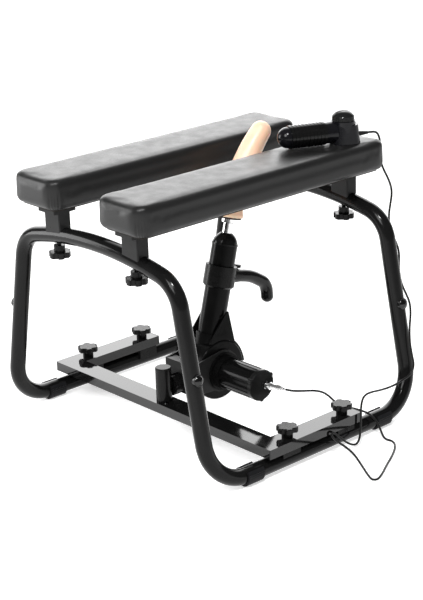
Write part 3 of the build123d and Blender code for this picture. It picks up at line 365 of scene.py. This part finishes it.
def pleat(mesh, low, high):
    """Small gathers where the vinyl is pulled round the lower half of each corner."""
    middle_x = (low.x + high.x) / 2
    for vertex in mesh.vertices:
        place = vertex.co
        corner = Vector((high.x - PAD_CORNER_R if place.x > middle_x else low.x + PAD_CORNER_R,
                         high.y - PAD_CORNER_R if place.y > 0 else low.y + PAD_CORNER_R))
        out = Vector((abs(place.x - middle_x) - abs(corner.x - middle_x), abs(place.y) - abs(corner.y)))
        if out.x <= 0 or out.y <= 0 or out.length < 0.6 * PAD_CORNER_R:
            continue
        angle = degrees(atan2(out.y, out.x))
        lower = 1 - smooth_step(place.z, low.z + PLEAT_FROM, low.z + PLEAT_TO)
        depth = PLEAT_DEPTH * lower * sum(exp(-((angle - at) / PLEAT_WIDTH) ** 2) for at in PLEATS)
        inward = Vector((corner.x - place.x, corner.y - place.y, 0)).normalized()
        vertex.co = place + inward * depth


def upholstered(name, node_name):
    """Foam under vinyl, swollen from a slightly smaller block."""
    source = frame["nodes"][node_name]
    low, high = (Vector(corner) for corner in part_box(node_name))
    middle, half = (low + high) / 2, (high - low) / 2
    mesh = source.data.copy()
    mesh.transform(source.matrix_world)
    mesh.name = name
    mesh.materials.clear()
    pad = add_object(name, mesh, "pad_vinyl", "frame")
    modify(pad, "REMESH", mode="VOXEL", voxel_size=PAD_VOXEL, use_smooth_shade=True)
    shrink = [1 - PAD_INSET / h for h in half]
    for vertex in pad.data.vertices:
        vertex.co = middle + Vector([(c - m) * k for c, m, k in zip(vertex.co, middle, shrink)])
    board = [vertex.index for vertex in pad.data.vertices if vertex.co.z < low.z + HELD_H
             and abs(vertex.co.x - middle.x) < half.x - HELD_RIM and abs(vertex.co.y) < half.y - HELD_RIM]
    swell(pad, board, SWELL_CAP)
    modify(pad, "SMOOTH", factor=0.5, iterations=3)
    modify(pad, "SUBSURF", levels=1)
    pleat(pad.data, low, high)
    for vertex in pad.data.vertices:
        vertex.co = Vector([min(max(c, a), b) for c, a, b in zip(vertex.co, low, high)])
    for face in pad.data.polygons:
        face.use_smooth = True
    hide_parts(node_name)


upholstered("left_cushion", "left_pad")
upholstered("right_cushion", "right_pad")

# ---------------------------------------------------------------- cord from handset to motor
CORD_R = 0.0022
CORD_ROUTE = [
    (168, 305, 559.5), (169, 317, 555), (165, 329, 537), (161, 332, 514), (165, 332, 488),
    (174, 331, 475), (186, 330, 461), (196, 328, 446), (200, 326, 432), (199, 323, 413),
    (199, 318, 390), (206, 312, 368), (222, 306, 352), (238, 303, 333), (243, 301, 317),
    (243, 300, 301), (246, 298, 281), (253, 297, 260),
    (266, 294, 246), (281, 291, 229), (288, 286, 207), (292, 278, 182), (298, 272, 155),
    (305, 271, 128), (310, 273, 106), (311, 262, 90), (309, 238, 83), (311, 207, 81),
    (316, 168, 86), (322, 130, 95), (328, 104, 97), (332, 92, 82), (332, 92, 56),
    (332, 91, 31), (334, 85, 10), (335, 72, 4), (333, 52, 15), (331, 31, 35),
    (330, 16, 50), (331, 9, 44), (333, 22, 29), (338, 42, 12), (357, 45, 2.4),
    (399, 20, 2.6), (455.2, -14.3, 2.4), (462.6, -11.6, 2.4), (465.3, -4.2, 2.4),
    (455, 19, 2.6), (438, 48, 2.6), (417, 88, 2.4), (394, 124, 2.6), (373, 141, 2.4),
    (354, 135, 2.8), (335, 146, 12), (326, 143, 32), (310, 138, 44), (293, 127, 50),
    (280, 112, 56), (274, 93, 66), (261, 88.5, 72.5), (247, 90.5, 77.5), (234, 87, 83),
    (224, 75, 87), (222, 55, 92), (223, 35, 98), (216, 19.1, 101),
]
HANDSET_TURN = radians(22)
HANDSET_SPOT = Vector((0.099, 0.134, 0.559))
RELIEF_END = 0.172
along_handset = Vector((sin(HANDSET_TURN), cos(HANDSET_TURN), 0))
cord_exit = HANDSET_SPOT + RELIEF_END * along_handset
OUTLET_YAW = radians(13)
cord_end = Vector((0.155, 0.005, 0.101)) + 0.0493 * Vector((cos(OUTLET_YAW), sin(OUTLET_YAW), 0))


def spline_cord(name, points, radius, body):
    """Round cord along a smooth spline with those points as its control points."""
    curve = bpy.data.curves.new(name, "CURVE")
    curve.dimensions = "3D"
    spline = curve.splines.new("NURBS")
    spline.points.add(len(points) - 1)
    for control, place in zip(spline.points, points):
        control.co = (*place, 1)
    spline.order_u = 3
    spline.use_endpoint_u = True
    spline.resolution_u = 8
    curve.bevel_depth = radius
    curve.bevel_resolution = 5
    curve.use_fill_caps = True
    made = bpy.data.objects.new(name, curve)
    scene.collection.objects.link(made)
    curve.materials.append(MATERIALS["cord_rubber"])
    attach(made, body)
    return made


route = [cord_exit] + [Vector(point) / 1000 for point in CORD_ROUTE] + [cord_end]
cord = spline_cord("cord", route, CORD_R, "frame")
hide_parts("handset_cord")
